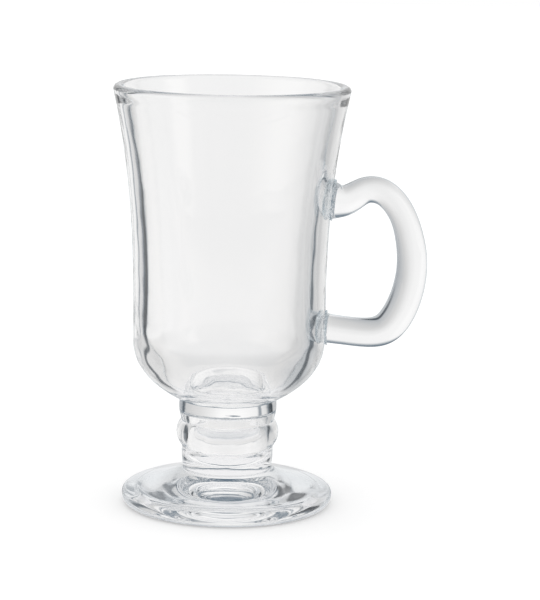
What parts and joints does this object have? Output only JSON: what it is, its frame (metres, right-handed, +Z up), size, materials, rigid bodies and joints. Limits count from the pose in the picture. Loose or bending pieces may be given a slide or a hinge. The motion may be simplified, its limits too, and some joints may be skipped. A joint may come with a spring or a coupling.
{
  "type": "irish coffee mug",
  "caption": "Footed clear glass mug with a flared bowl on a short knopped stem and a D-shaped side handle welded on at two pads.",
  "frame": {"origin": "centre of the resting ring, on the surface that the mug stands on", "axes": "+Z up along the mug's axis, +X from the axis to the handle, +Y the third axis, so the handle's plane is XZ"},
  "size_m": [0.1084, 0.081, 0.146],
  "materials": {
    "clear_glass": "fire-polished, clear",
    "weld_glass": "wrinkled where it was welded"
  },
  "bodies": {
    "root": {"foot": "clear_glass", "lower_stem": "clear_glass", "knop": "clear_glass", "upper_stem": "clear_glass", "bowl": "clear_glass", "lower_weld_pad": "weld_glass", "upper_weld_pad": "weld_glass", "handle": "clear_glass"}
  },
  "joints": []
}
